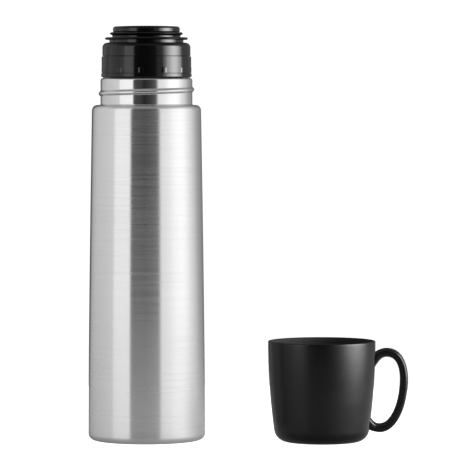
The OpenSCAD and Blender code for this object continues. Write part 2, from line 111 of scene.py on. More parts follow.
SKIRT_LO = NECK_TOP + 23.9
SKIRT_R = 27.2
O_RING_H = 1.5
O_RING_DEPTH = 1.2
LOWER_RING_Z = NECK_TOP + 27.9
LOWER_RING_R = 30.65
WAIST_R = 25.0
UPPER_RING_Z = NECK_TOP + 31.5
UPPER_RING_R = 26.95
RING_T = 1.9
KNOB_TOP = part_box("pour_knob")[1][2] / MM
KNOB_BORE_R = 23.2
KNOB_ROOF_Z = UPPER_RING_Z + 0.2
KNOB_HOLE_R = 12.0
SLEEVE_LO = NECK_TOP + 21.6
SLEEVE_R = 14.8
SLEEVE_OUT_R = 16.8
STEM_PLATE_LO = NECK_TOP + 28.4
STEM_PLATE_HI = NECK_TOP + 29.9
STEM_HOLE_R = 3.7
# The disc's top is 0.4 lower than in the CAD.
TOP_DISC_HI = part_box("knob_disc")[1][2] / MM - 0.4
TOP_DISC_R = 24.6
SPIGOT_R = 11.8
SPIGOT_H = 1.2

MUG_R = 39.35
MUG_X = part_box("mug")[0][0] / MM + MUG_R
MUG_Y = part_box("mug")[0][1] / MM + MUG_R
MUG_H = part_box("mug")[1][2] / MM
MUG_TAPER = 4.25
MUG_CORNER_R = 10.0
MUG_LEAN = math.degrees(math.atan(2 * MUG_TAPER / (MUG_H - MUG_CORNER_R)))
MUG_WALL = 2.2
MUG_FLOOR = 3.0
MUG_LIP_R = 0.8
MUG_FOOT_HOLLOW = 0.8

THREAD_MID = MUG_H - 6.3
THREAD_SWEEP = 240.0
THREAD_START = 60.0
THREAD_TIP_R = NECK_R + 0.7
THREAD_HALF_W = 1.55
THREAD_FLANK = 0.9

# The handle's loop is a leaning oval, measured from the mug's axis; a power below 1 squares its ends.
LOOP_X = 45.1
LOOP_Z = 37.8
LOOP_A = 27.9
LOOP_B = 14.5
LOOP_TILT = math.radians(9.0)
LOOP_POWER = 2 / 2.2
LOOP_START = -127.0
LOOP_END = 147.0
STRAP_W = 15.0
STRAP_T = 5.9
STRAP_END_T = 6.3
STRAP_POWER = 0.6
# How much the half-thickness and the half-width grow where the strap meets the bowl, and how deep it goes in.
SWELL_T = 0.09
SWELL_W = 0.05
STRAP_SINK = 1.1


# ---------------------------------------------------------------- shapes: helpers

def arc(x, z, r, a0, a1, n=8):
    """Points of an arc round (x, z), from angle a0 to a1 in degrees."""
    angles = [math.radians(a0 + (a1 - a0) * i / n) for i in range(n + 1)]
    return [(x + r * math.cos(a), z + r * math.sin(a)) for a in angles]


def between(p, q, n):
    """n points on the line from p to q, without q."""
    return [(p[0] + (q[0] - p[0]) * i / n, p[1] + (q[1] - p[1]) * i / n) for i in range(n)]


def smooth(t):
    """Soft step from 0 to 1 as t goes from 0 to 1."""
    t = min(1.0, max(0.0, t))
    return t * t * (3 - 2 * t)


def new_object(name, verts, faces, sharp_angle=32.0):
    """A mesh object with smooth faces, and sharp edges where faces meet at more than sharp_angle."""
    mesh = bpy.data.meshes.new(name)
    mesh.from_pydata(verts, [], faces)
    mesh.validate()
    mesh.shade_smooth()
    mesh.set_sharp_from_angle(angle=math.radians(sharp_angle))
    obj = bpy.data.objects.new(name, mesh)
    bpy.context.scene.collection.objects.link(obj)
    weighted = obj.modifiers.new("weighted normals", "WEIGHTED_NORMAL")
    weighted.keep_sharp = True
    return obj


def turned(name, profile, centre=(0.0, 0.0), columns=216, shift=None, angles=None):
    """A closed profile of (radius, height) turned round a vertical axis.

    shift(angle, radius, height, row) gives how far a point moves outwards. A profile that starts and
    ends on the axis is capped there; any other profile is a loop.
    """
    angles = angles or [360.0 * i / columns for i in range(columns)]
    open_ends = profile[0][0] < 1e-6 and profile[-1][0] < 1e-6
    rings = profile[1:-1] if open_ends else profile
    n = len(angles)
    verts = []
    for row, (r, z) in enumerate(rings):
        for a in angles:
            out = r + (shift(a, r, z, row) if shift else 0.0)
            rad = math.radians(a)
            verts.append(((centre[0] + out * math.cos(rad)) * MM,
                          (centre[1] + out * math.sin(rad)) * MM, z * MM))
    faces = []
    last = len(rings) - 1 if open_ends else len(rings)
    for row in range(last):
        nxt = (row + 1) % len(rings)
        for i in range(n):
            j = (i + 1) % n
            faces.append((row * n + i, row * n + j, nxt * n + j, nxt * n + i))
    if open_ends:
        for ring, (r, z), flip in ((0, profile[0], True), (len(rings) - 1, profile[-1], False)):
            pole = len(verts)
            verts.append((centre[0] * MM, centre[1] * MM, z * MM))
            for i in range(n):
                j = (i + 1) % n
                face = (ring * n + i, ring * n + j, pole)
                faces.append(face[::-1] if flip else face)
    return new_object(name, verts, faces)


# ---------------------------------------------------------------- shapes: the flask

def jacket_r(z):
    """Outside radius of the jacket's wall at height z."""
    if z < STRAIGHT_H:
        return BASE_R
    t = (z - STRAIGHT_H) / (SHOULDER_H - STRAIGHT_H)
    return BASE_R - (BASE_R - SHOULDER_R) * t ** TAPER_POWER


def wall(inset, z0, z1, n):
    """Jacket wall from z0 to z1, moved inwards by inset."""
    return [(jacket_r(z0 + (z1 - z0) * i / n) - inset, z0 + (z1 - z0) * i / n) for i in range(n + 1)]


def make_jacket():
    """Foot corner, tapered wall and shoulder, as a closed sheet."""
    z_top = SHOULDER_H - SHOULDER_CORNER_R
    r_top = jacket_r(z_top) - SHOULDER_CORNER_R
    inner_edge = NECK_R + NECK_FILLET_R
    foot = (BASE_R - BASE_CORNER_R, BASE_CORNER_R)
    outside = (
        [(FOOT_RING_R, 0.0)]
        + arc(*foot, BASE_CORNER_R, -90, 0, 14)
        + wall(0.0, STRAIGHT_H * 0.6, z_top, 48)
        + arc(r_top, z_top, SHOULDER_CORNER_R, 0, 90, 14)[1:]
        + [(inner_edge, SHOULDER_H)]
    )
    inside = (
        [(inner_edge, SHOULDER_H - SHEET)]
        + arc(r_top, z_top, SHOULDER_CORNER_R - SHEET, 90, 0, 8)
        + wall(SHEET, STRAIGHT_H, z_top - 4.0, 24)[::-1]
        + arc(*foot, BASE_CORNER_R - SHEET, 0, -90, 8)
        + [(FOOT_RING_R, SHEET)]
    )
    return turned("jacket", outside + inside)


def bead(angle, r, z, row):
    """Rolled helical bead on the neck: its height at this place, zero away from it."""
    if r < NECK_R - 0.01 or not SHOULDER_H + 1.5 < z < NECK_TOP - 1.2:
        return 0.0
    from_front = (angle - 270.0 + 180.0) % 360.0 - 180.0
    mid = BEAD_MID + BEAD_LEAD * from_front / 360.0
    fade = smooth((BEAD_SWEEP / 2 - abs(from_front)) / THREAD_FADE)
    across = abs(z - mid) / (BEAD_W / 2)
    if across >= 1.0:
        return 0.0
    return BEAD_H * fade * math.cos(across * math.pi / 2) ** 1.5


def make_neck():
    """Polished neck with its rolled bead and rounded lip."""
    fillet = arc(NECK_R + NECK_FILLET_R, SHOULDER_H + NECK_FILLET_R, NECK_FILLET_R, 270, 180, 8)
    side = between((NECK_R, SHOULDER_H + NECK_FILLET_R + 0.2), (NECK_R, NECK_TOP - LIP_R), 110)
    profile = (
        fillet + side
        + arc(NECK_R - LIP_R, NECK_TOP - LIP_R, LIP_R, 0, 90, 8)
        + between((NECK_R - LIP_R - 0.4, NECK_TOP), (MOUTH_R, NECK_TOP), 3)
        + [(MOUTH_R, NECK_TOP), (MOUTH_R, NECK_TOP - SHEET), (NECK_R - SHEET, NECK_TOP - SHEET)]
        + [(NECK_R - SHEET, SHOULDER_H - SHEET), (NECK_R + NECK_FILLET_R, SHOULDER_H - SHEET)]
    )
    return turned("neck", profile, columns=300, shift=bead)


# ---------------------------------------------------------------- shapes: the stopper and its knob

def rib_angles():
    """Angles round the collar, close together at the sides of the ribs."""
    step = 360.0 / RIB_COUNT
    near = [0.2 * i for i in range(-9, 10)]
    angles = set()
    for k in range(RIB_COUNT):
        mid = RIB_START + step * k
        for off in near:
            angles.add(round((mid - RIB_ANGLE / 2 + off) % 360.0, 3))
            angles.add(round((mid + RIB_ANGLE / 2 + off) % 360.0, 3))
        angles.add(round(mid % 360.0, 3))
        angles.update(round((mid + step * i / 16) % 360.0, 3) for i in range(4, 13))
    return sorted(angles)


def ribs(angle, r, z, row):
    """How far a grip rib stands out of the collar here."""
    if abs(r - COLLAR_R) > 0.02 or not RIB_LO - 0.5 < z < RIB_HI + 1.0:
        return 0.0
    step = 360.0 / RIB_COUNT
    from_mid = (angle - RIB_START + step / 2) % step - step / 2
    side = smooth((RIB_ANGLE / 2 - abs(from_mid)) / RIB_EASE + 0.5)
    return RIB_H * side * smooth((RIB_HI - z) / 0.5)


def make_collar():
    """Grip collar: foot flange, shadow groove, low grip ribs and a plain band up to the seam."""
    r = COLLAR_R
    flange_hi = COLLAR_LO + FLANGE_T
    recess_r = WASHER_R + 0.15
    seam_r = SHROUD_R - 0.5
    inner = SHROUD_R - SHROUD_WALL
    seam = SHROUD_LO - 0.02
    bore_r = PLUG_R + 0.1
    profile = (
        [(bore_r, COLLAR_LO), (WASHER_SEAT_R, COLLAR_LO), (WASHER_SEAT_R, WASHER_SEAT_Z)]
        + [(recess_r, WASHER_SEAT_Z), (recess_r, COLLAR_FOOT)]
        + arc(FLANGE_R - 0.4, COLLAR_FOOT + 0.4, 0.4, -90, 0, 6)
        + arc(FLANGE_R - 0.3, flange_hi - 0.3, 0.3, 0, 90, 5)
        + [(r - GROOVE_DEPTH, flange_hi + 0.02), (r - GROOVE_DEPTH, RIB_LO - 0.02)]
        + arc(r - 0.15, RIB_LO + 0.13, 0.15, -90, 0, 4)
        + between((r, RIB_LO + 0.4), (r, RIB_HI - 0.8), 4)
        + between((r, RIB_HI - 0.8), (r, RIB_HI + 0.2), 12)
        + between((r, RIB_HI + 0.2), (r, COLLAR_HI - 0.35), 6)
        + arc(r - 0.3, COLLAR_HI - 0.3, 0.3, 0, 90, 6)
        + [(seam_r, COLLAR_HI), (seam_r, seam), (inner, seam), (inner, COLLAR_DECK), (bore_r, COLLAR_DECK)]
    )
    return turned("collar", profile, shift=ribs, angles=rib_angles())


def make_washer():
    """Rubber washer between the collar and the neck's lip, a little squeezed out at its edge; its black is
    painted shade, standing in for the shadow line under the collar.
    """
    lo, hi, edge = WASHER_LO, WASHER_HI, 0.35
    profile = (
        [(WASHER_BORE_R, lo)]
        + arc(WASHER_R - edge, lo + edge, edge, -90, 0, 5)
        + between((WASHER_R - 0.1, (lo + hi) / 2), (WASHER_R - 0.05, hi - edge - 0.1), 2)
        + arc(WASHER_R - edge, hi - edge, edge, 0, 90, 5)
        + [(WASHER_BORE_R, hi)]
    )
    return turned("washer", profile)


def make_shroud():
    """Rounded upper part of the stopper, round the bore that the knob closes."""
    r, c = SHROUD_R, SHROUD_CORNER_R
    lo, hi = SHROUD_LO, SHROUD_HI
    bore_lo = hi - SHROUD_BORE_H
    bore_out_r = SHROUD_BORE_R + 1.2
    profile = (
        [(r - SHROUD_WALL, lo)]
        + arc(r - 0.3, lo + 0.3, 0.3, -90, 0, 5)
        + between((r, lo + 0.8), (r, hi - c - 0.3), 4)
        + arc(r - c, hi - c, c, 0, 90, 18)
        + between((r - c - 0.3, hi), (SHROUD_BORE_R + 0.7, hi), 3)
        + arc(SHROUD_BORE_R + 0.5, hi - 0.5, 0.5, 90, 180, 6)
        + [(SHROUD_BORE_R, bore_lo), (bore_out_r, bore_lo), (bore_out_r, hi - SHROUD_ROOF)]
        + arc(r - c, hi - c, c - SHROUD_ROOF, 90, 0, 8)
        + [(r - SHROUD_WALL, hi - c)]
    )
    return turned("shroud", profile)


def lip(r_in, r_out, z, r_end):
    """Edge of a thin ring, from r_in below to r_end above, chamfered to a tip that is finer than the CAD's."""
    tip, chamfer, ease = 0.16, 0.95, 0.1
    return (
        [(r_in, z)]
        + arc(r_out - chamfer - ease, z + 0.12, ease, -84, -44, 4)
        + arc(r_out - tip, z + RING_T / 2, tip, -44, 44, 7)
        + arc(r_out - chamfer - ease, z + RING_T - 0.12, ease, 44, 84, 4)
        + [(r_end, z + RING_T)]
    )


def make_knob():
    """Stepped pour knob: skirt, wide ring, waist and narrow ring, hollow underneath."""
    ring_top_r = WAIST_R - 0.2
    groove, groove_r = SKIRT_LO + 0.4, SKIRT_R - O_RING_DEPTH
    waist_fillet = 0.9
    profile = (
        [(KNOB_BORE_R, SKIRT_LO), (SKIRT_R, SKIRT_LO), (SKIRT_R, groove), (groove_r, groove)]
        + [(groove_r, groove + O_RING_H), (SKIRT_R, groove + O_RING_H)]
        + lip(SKIRT_R, LOWER_RING_R, LOWER_RING_Z + 0.1, ring_top_r)
        + [(WAIST_R + 0.25, LOWER_RING_Z + 2.0), (WAIST_R, LOWER_RING_Z + 2.2)]
        + arc(WAIST_R + waist_fillet, UPPER_RING_Z - 0.7, waist_fillet, 180, 90, 8)
        + lip(WAIST_R + 1.0, UPPER_RING_R, KNOB_ROOF_Z, ring_top_r)
        + [(KNOB_HOLE_R, KNOB_TOP), (KNOB_HOLE_R, KNOB_ROOF_Z), (SLEEVE_R, KNOB_ROOF_Z)]
        + [(SLEEVE_R, STEM_PLATE_HI), (STEM_HOLE_R, STEM_PLATE_HI)]
        + [(STEM_HOLE_R, STEM_PLATE_LO), (SLEEVE_R, STEM_PLATE_LO), (SLEEVE_R, SLEEVE_LO)]
        + [(SLEEVE_OUT_R, SLEEVE_LO), (SLEEVE_OUT_R, KNOB_ROOF_Z), (KNOB_BORE_R, KNOB_ROOF_Z)]
    )
    return turned("knob", profile)


def make_knob_disc():
    """Disc on top of the knob, with a well rounded edge and a slightly crowned face."""
    lo, hi = KNOB_TOP, TOP_DISC_HI
    r, edge, crown = TOP_DISC_R, 2.0, 0.5
    rim = r - edge
    profile = (
        [(0.0, lo - SPIGOT_H), (SPIGOT_R, lo - SPIGOT_H), (SPIGOT_R, lo), (r - 0.45, lo), (r - 0.2, lo + 0.25)]
        + between((r - 0.1, lo + 0.6), (r - 0.02, hi - crown - edge - 0.3), 4)
        + arc(rim, hi - crown - edge, edge, 0, 84, 14)
        + [(rim * (1 - i / 14), hi - crown * (1 - i / 14) ** 2) for i in range(1, 14)]
        + [(0.0, hi)]
    )
    return turned("knob_top_disc", profile)


# ---------------------------------------------------------------- shapes: the mug

def mug_r(z):
    """Outside radius of the mug's wall at height z."""
    t = max(0.0, (MUG_H - z) / (MUG_H - MUG_CORNER_R))
    return MUG_R - MUG_TAPER * t * t


def mug_thread(angle, r, z, row):
    """Inside thread below the rim: how far the wall moves, which is inwards."""
    if r > mug_r(z) - MUG_WALL + 0.3 or abs(z - THREAD_MID) > 6.0:
        return 0.0
    along = (angle - THREAD_START) % 360.0
    if along > THREAD_SWEEP:
        return 0.0
    mid = THREAD_MID - BEAD_LEAD / 3 + BEAD_LEAD * along / 360.0
    fade = smooth(min(along, THREAD_SWEEP - along) / THREAD_FADE)
    side = smooth((THREAD_HALF_W - abs(z - mid)) / THREAD_FLANK)
    return -(r - THREAD_TIP_R) * fade * side


def make_mug():
    """Mug's bowl: rounded foot, gently tapered wall, thin lip, and the inside with its thread."""
    c = MUG_CORNER_R
    wall_lo = c * (1 - math.sin(math.radians(MUG_LEAN)))
    foot_r = mug_r(wall_lo) - c * math.cos(math.radians(MUG_LEAN))
    outer_z = [wall_lo + (MUG_H - 1.2 - wall_lo) * i / 28 for i in range(29)]
    inner_top = MUG_H - 13.0
    inner_z = [c + 2.5 + (inner_top - c - 2.5) * i / 14 for i in range(15)]
    thread_z = [inner_top + (MUG_H - 2.2 - inner_top) * i / 44 for i in range(1, 45)]
    inner_corner = c - MUG_FLOOR + 0.8
    hollow = MUG_FOOT_HOLLOW
    profile = (
        [(0.0, hollow)] + between((6.0, hollow), (foot_r - 2.7, hollow), 5)
        + [(foot_r - 2.5, hollow), (foot_r - 1.9, 0.15), (foot_r - 1.6, 0.0)]
        + arc(foot_r, c, c, -90, -MUG_LEAN, 18)
        + [(mug_r(z), z) for z in outer_z[1:]]
        + arc(MUG_R - MUG_LIP_R, MUG_H - MUG_LIP_R, MUG_LIP_R - 0.02, 8, 172, 14)
        + [(MUG_R - 1.66, MUG_H - 1.3)]
        + [(mug_r(z) - MUG_WALL, z) for z in reversed(inner_z + thread_z)]
        + arc(foot_r - 0.4, MUG_FLOOR + inner_corner, inner_corner, -MUG_LEAN, -90, 12)
        + between((foot_r - 4.0, MUG_FLOOR), (0.0, MUG_FLOOR), 6) + [(0.0, MUG_FLOOR)]
    )
    return turned("mug_bowl", profile, centre=(MUG_X, MUG_Y), columns=256, shift=mug_thread)


def soft(value, power):
    """Power of a sine or cosine that keeps its sign."""
    return math.copysign(abs(value) ** power, value)


def loop_point(angle, out):
    """Point on the handle's loop: out is -1 on its inner edge, 0 in the middle and 1 on its outer edge."""
    x = (LOOP_B + out * STRAP_T / 2) * soft(math.cos(angle), LOOP_POWER)
    z = (LOOP_A + out * STRAP_END_T / 2) * soft(math.sin(angle), LOOP_POWER)
    return (LOOP_X + x * math.cos(LOOP_TILT) + z * math.sin(LOOP_TILT),
            LOOP_Z - x * math.sin(LOOP_TILT) + z * math.cos(LOOP_TILT))


def make_handle():
    """Strap of the handle along its leaning loop, swelling a little where it runs into the bowl."""
    steps, around = 132, 44
    verts, faces = [], []
    for k in range(steps + 1):
        angle = math.radians(LOOP_START + (LOOP_END - LOOP_START) * k / steps)
        inner, outer = loop_point(angle, -1.0), loop_point(angle, 1.0)
        mid_x, mid_z = (inner[0] + outer[0]) / 2, (inner[1] + outer[1]) / 2
        swell = 1 - smooth((mid_x - mug_r(mid_z) + 1.0) / 6.0)
        for j in range(around):
            a = 2 * math.pi * j / around
            u = soft(math.cos(a), STRAP_POWER) * (0.5 + SWELL_T * swell)
            v = soft(math.sin(a), STRAP_POWER) * (0.5 + SWELL_W * swell) * STRAP_W
            x = mid_x + (outer[0] - inner[0]) * u
            z = mid_z + (outer[1] - inner[1]) * u
            buried = mug_r(z) - STRAP_SINK
            if math.hypot(x, v) < buried:
                x = math.sqrt(buried ** 2 - v ** 2)
            verts.append(((MUG_X + x) * MM, (MUG_Y + v) * MM, z * MM))
    for k in range(steps):
        for j in range(around):
            i = (j + 1) % around
            faces.append((k * around + j, (k + 1) * around + j, (k + 1) * around + i, k * around + i))
    faces.append(tuple(range(around)))
    faces.append(tuple(steps * around + j for j in reversed(range(around))))
    return new_object("mug_handle", verts, faces, sharp_angle=50.0)


# ---------------------------------------------------------------- materials

def calculate(tree, operation, a, b):
    """Number worked out from a and b, each a constant or another node's output."""
    node = tree.nodes.new("ShaderNodeMath")
    node.operation = operation
    for socket, value in zip(node.inputs, (a, b)):
        if isinstance(value, (int, float)):
            socket.default_value = value
        else:
            tree.links.new(value, socket)
    return node.outputs["Value"]


class Nodes:
    """Short way to build one material's nodes."""

    def __init__(self, name):
        self.material = bpy.data.materials.new(name)
        self.material.use_nodes = True
        self.tree = self.material.node_tree
        self.shader = self.tree.nodes["Principled BSDF"]
        self.where = self.tree.nodes.new("ShaderNodeTexCoord").outputs["Object"]

    def link(self, a, b):
        self.tree.links.new(a, b)

    def set(self, **values):
        """Set the shader's inputs by name, with _ for a space."""
        for key, value in values.items():
            self.shader.inputs[key.replace("_", " ")].default_value = value

    def stretched(self, x, y, z):
        """Object coordinates multiplied along each axis."""
        node = self.tree.nodes.new("ShaderNodeMapping")
        node.inputs["Scale"].default_value = (x, y, z)
        self.link(self.where, node.inputs["Vector"])
        return node.outputs["Vector"]

    def noise(self, vector, detail=3.0, roughness=0.55, distortion=0.0):
        """Soft noise with about one blob to each unit of vector."""
        node = self.tree.nodes.new("ShaderNodeTexNoise")
        node.inputs["Scale"].default_value = 1.0
        node.inputs["Detail"].default_value = detail
        node.inputs["Roughness"].default_value = roughness
        node.inputs["Distortion"].default_value = distortion
        self.link(vector, node.inputs["Vector"])
        return node.outputs["Fac"]

    def range(self, value, low, high, to_low, to_high):
        """Value carried over from low..high to to_low..to_high, and held at its ends."""
        node = self.tree.nodes.new("ShaderNodeMapRange")
        for key, number in zip(("From Min", "From Max", "To Min", "To Max"), (low, high, to_low, to_high)):
            node.inputs[key].default_value = number
        self.link(value, node.inputs["Value"])
        return node.outputs["Result"]

    def math(self, operation, a, b):
        return calculate(self.tree, operation, a, b)

    def vector(self, operation, a, b=None):
        """Outputs of a vector calculation on a, and on b: a fixed triple or another node's output."""
        node = self.tree.nodes.new("ShaderNodeVectorMath")
        node.operation = operation
        self.link(a, node.inputs[0])
        if isinstance(b, tuple):
            node.inputs[1].default_value = b
        elif b is not None:
            self.link(b, node.inputs[1])
        return node.outputs

    def mix(self, fac, dark, light):
        """Colour between dark and light."""
        node = self.tree.nodes.new("ShaderNodeMix")
        node.data_type = "RGBA"
        node.inputs["A"].default_value = (*dark, 1.0)
        node.inputs["B"].default_value = (*light, 1.0)
        self.link(fac, node.inputs["Factor"])
        return node.outputs["Result"]

    def outwards(self, x, y):
        """How far the surface faces away from the upright axis through x, y: 1 outside, -1 inside."""
        arm = self.vector("SUBTRACT", self.where, (x, y, 0.0))["Vector"]
        unit = self.vector("NORMALIZE", self.vector("MULTIPLY", arm, (1.0, 1.0, 0.0))["Vector"])["Vector"]
        normal = self.tree.nodes.new("ShaderNodeTexCoord").outputs["Normal"]
        return self.vector("DOT_PRODUCT", unit, normal)["Value"]

    def distance(self, x, y):
        """Distance from the point x, y, 0."""
        return self.vector("DISTANCE", self.where, (x, y, 0.0))["Value"]

    def bump(self, height, strength, distance):
        """Relief from height, which goes to the shader's normal."""
        node = self.tree.nodes.new("ShaderNodeBump")
        node.inputs["Strength"].default_value = strength
        node.inputs["Distance"].default_value = distance
        self.link(height, node.inputs["Height"])
        self.link(node.outputs["Normal"], self.shader.inputs["Normal"])

    def turned_tangent(self):
        """Grooves run round the axis, so highlights stretch up and down."""
        node = self.tree.nodes.new("ShaderNodeTangent")
        node.direction_type = "RADIAL"
        node.axis = "Z"
        self.link(node.outputs["Tangent"], self.shader.inputs["Tangent"])


def brushed_steel():
    """Satin stainless steel, brushed round the body: fine grooves, some of them rougher than the rest."""
    m = Nodes("brushed stainless steel")
    m.set(Metallic=1.0, Anisotropic=1.0, Anisotropic_Rotation=0.25)
    m.turned_tangent()
    fine = m.noise(m.stretched(19, 19, 2100), detail=2.0, roughness=0.6)
    line = m.noise(m.stretched(13, 13, 770), detail=3.0, roughness=0.6)
    patch = m.noise(m.stretched(9, 9, 14), detail=2.0)
    both = m.math("ADD", m.math("MULTIPLY", fine, 0.5), m.math("MULTIPLY", line, 0.5))
    m.link(m.mix(m.range(both, 0.35, 0.65, 0.0, 1.0), (0.674, 0.674, 0.679), (0.686, 0.686, 0.691)),
           m.shader.inputs["Base Color"])
    rough = m.math("ADD", m.range(line, 0.35, 0.65, 0.228, 0.278), m.range(patch, 0.3, 0.7, -0.01, 0.01))
    m.link(rough, m.shader.inputs["Roughness"])
    m.bump(both, 0.02, 0.00004)
    return m.material


def polished_steel():
    """Bright neck: nearly a mirror, with faint lines left by the spinning lathe."""
    m = Nodes("polished stainless steel")
    m.set(Metallic=1.0, Anisotropic=0.55, Anisotropic_Rotation=0.25)
    m.turned_tangent()
    lines = m.noise(m.stretched(30, 30, 1500), detail=3.0, roughness=0.6)
    smear = m.noise(m.stretched(60, 60, 60), detail=4.0, roughness=0.6, distortion=0.6)
    m.link(m.mix(m.range(smear, 0.35, 0.7, 0.0, 1.0), (0.625, 0.625, 0.63), (0.68, 0.68, 0.685)),
           m.shader.inputs["Base Color"])
    rough = m.math("ADD", m.range(lines, 0.3, 0.7, 0.06, 0.12), m.range(smear, 0.4, 0.7, 0.0, 0.03))
    m.link(rough, m.shader.inputs["Roughness"])
    m.bump(lines, 0.10, 0.00003)
    return m.material


def inner_steel():
    """Electropolished steel of the inner bottle, with a soft cloudy sheen."""
    m = Nodes("electropolished steel")
    m.set(Metallic=1.0)
    cloud = m.noise(m.stretched(70, 70, 70), detail=4.0)
    m.link(m.mix(cloud, (0.56, 0.56, 0.55), (0.66, 0.66, 0.65)), m.shader.inputs["Base Color"])
    m.link(m.range(cloud, 0.3, 0.7, 0.2, 0.34), m.shader.inputs["Roughness"])
    m.bump(m.noise(m.stretched(900, 900, 900), detail=2.0), 0.1, 0.00004)
    return m.material


def pan_steel():
    """Pressed steel under the foot, brushed in one direction and scuffed by use."""
    m = Nodes("pressed steel")
    m.set(Metallic=1.0)
    lines = m.noise(m.stretched(40, 1800, 40), detail=3.0)
    scuff = m.noise(m.stretched(160, 160, 160), detail=6.0, roughness=0.7)
    m.link(m.mix(m.range(lines, 0.3, 0.7, 0.0, 1.0), (0.48, 0.48, 0.48), (0.62, 0.62, 0.62)),
           m.shader.inputs["Base Color"])
    m.link(m.math("ADD", m.range(lines, 0.3, 0.7, 0.28, 0.4), m.range(scuff, 0.5, 0.7, 0.0, 0.12)),
           m.shader.inputs["Roughness"])
    m.bump(m.math("ADD", lines, scuff), 0.15, 0.00004)
    return m.material


def gloss_plastic():
    """Glossy black moulded plastic: a faint waviness, and fine rub marks that only dull the gloss."""
    m = Nodes("gloss black plastic")
    m.set(IOR=1.49, Specular_IOR_Level=0.2)
    wave = m.noise(m.stretched(140, 140, 140), detail=2.0)
    grain = m.noise(m.stretched(2400, 2400, 2400), detail=2.0)
    rub = m.noise(m.stretched(60, 60, 900), detail=4.0, roughness=0.7)
    m.link(m.mix(rub, (0.0006, 0.0006, 0.0007), (0.0014, 0.0014, 0.0016)), m.shader.inputs["Base Color"])
    m.link(m.range(rub, 0.35, 0.75, 0.12, 0.18), m.shader.inputs["Roughness"])
    m.bump(m.math("ADD", m.math("MULTIPLY", wave, 0.8), m.math("MULTIPLY", grain, 0.2)), 0.08, 0.00006)
    return m.material


def satin_plastic():
    """Satin black plastic of the mug: a fine spark-eroded grain, duller on the inside of the bowl."""
    m = Nodes("satin black plastic")
    m.set(IOR=1.49, Specular_IOR_Level=0.2)
    grain = m.noise(m.stretched(3200, 3200, 3200), detail=3.0, roughness=0.7)
    mottle = m.noise(m.stretched(90, 90, 60), detail=4.0)
    flow = m.noise(m.stretched(25, 25, 160), detail=3.0)
    m.link(m.mix(m.range(mottle, 0.3, 0.7, 0.0, 1.0), (0.0005, 0.0005, 0.0006), (0.0012, 0.0012, 0.0013)),
           m.shader.inputs["Base Color"])
    rough = m.math("ADD", m.range(mottle, 0.3, 0.7, 0.28, 0.32), m.range(flow, 0.3, 0.7, -0.01, 0.02))
    inside = m.range(m.outwards(MUG_X * MM, MUG_Y * MM), -0.2, 0.0, 0.5, 0.0)
    m.link(m.math("ADD", rough, inside), m.shader.inputs["Roughness"])
    m.bump(grain, 0.14, 0.00006)
    return m.material


def silicone():
    """Soft translucent silicone with a dusty bloom."""
    m = Nodes("grey silicone")
    m.set(IOR=1.41, Subsurface_Weight=0.3, Subsurface_Scale=0.002)
    bloom = m.noise(m.stretched(300, 300, 300), detail=5.0, roughness=0.65)
    m.link(m.mix(bloom, (0.55, 0.54, 0.51), (0.68, 0.67, 0.64)), m.shader.inputs["Base Color"])
    m.link(m.range(bloom, 0.3, 0.7, 0.45, 0.65), m.shader.inputs["Roughness"])
    m.bump(bloom, 0.1, 0.00005)
    return m.material


def black_rubber():
    """Matt rubber, black, of the O-ring and the washer; on the washer the black is also painted shade, standing
    in for the dark shadow line under the collar.
    """
    m = Nodes("black rubber")
    bloom = m.noise(m.stretched(500, 500, 500), detail=5.0, roughness=0.65)
    m.link(m.mix(bloom, (0.012, 0.012, 0.012), (0.03, 0.03, 0.03)), m.shader.inputs["Base Color"])
    m.link(m.range(bloom, 0.3, 0.7, 0.5, 0.75), m.shader.inputs["Roughness"])
    m.bump(bloom, 0.15, 0.00005)
    return m.material


def foam():
    """Rigid insulating foam with fine open cells."""
    m = Nodes("rigid foam")
    cells = m.tree.nodes.new("ShaderNodeTexVoronoi")
    cells.inputs["Scale"].default_value = 900
    m.link(m.where, cells.inputs["Vector"])
    m.link(m.mix(cells.outputs["Distance"], (0.62, 0.57, 0.46), (0.86, 0.82, 0.72)),
           m.shader.inputs["Base Color"])
    m.set(Roughness=0.9)
    m.bump(cells.outputs["Distance"], 0.5, 0.0003)
    return m.material


def foil():
    """Thin crinkled reflecting foil."""
    m = Nodes("reflecting foil")
    m.set(Metallic=1.0)
    crinkle = m.noise(m.stretched(220, 220, 220), detail=4.0, distortion=1.5)
    m.link(m.mix(crinkle, (0.72, 0.62, 0.5), (0.85, 0.76, 0.64)), m.shader.inputs["Base Color"])
    m.link(m.range(crinkle, 0.3, 0.7, 0.15, 0.3), m.shader.inputs["Roughness"])
    m.bump(crinkle, 0.6, 0.0004)
    return m.material


def sintered():
    """Dark sintered pellet."""
    m = Nodes("sintered metal")
    m.set(Metallic=0.7)
    grain = m.noise(m.stretched(1800, 1800, 1800), detail=4.0, roughness=0.7)
    m.link(m.mix(grain, (0.14, 0.14, 0.15), (0.32, 0.32, 0.33)), m.shader.inputs["Base Color"])
    m.link(m.range(grain, 0.3, 0.7, 0.6, 0.85), m.shader.inputs["Roughness"])
    m.bump(grain, 0.4, 0.0001)
    return m.material


def solder_glass():
    """Dark drop of glass solder."""
    m = Nodes("glass solder")
    m.set(IOR=1.6, Coat_Weight=0.5, Coat_Roughness=0.1)
    swirl = m.noise(m.stretched(800, 800, 800), detail=3.0, distortion=1.0)
    m.link(m.mix(swirl, (0.01, 0.02, 0.02), (0.05, 0.07, 0.07)), m.shader.inputs["Base Color"])
    m.link(m.range(swirl, 0.3, 0.7, 0.1, 0.3), m.shader.inputs["Roughness"])
    m.bump(swirl, 0.1, 0.00005)
    return m.material


def paint(obj, material):
    obj.data.materials.clear()
    obj.data.materials.append(material)


# ---------------------------------------------------------------- the object

steel = brushed_steel()
bright = polished_steel()
inside_steel = inner_steel()
pan = pan_steel()
gloss = gloss_plastic()
satin = satin_plastic()
seal = silicone()
rubber = black_rubber()

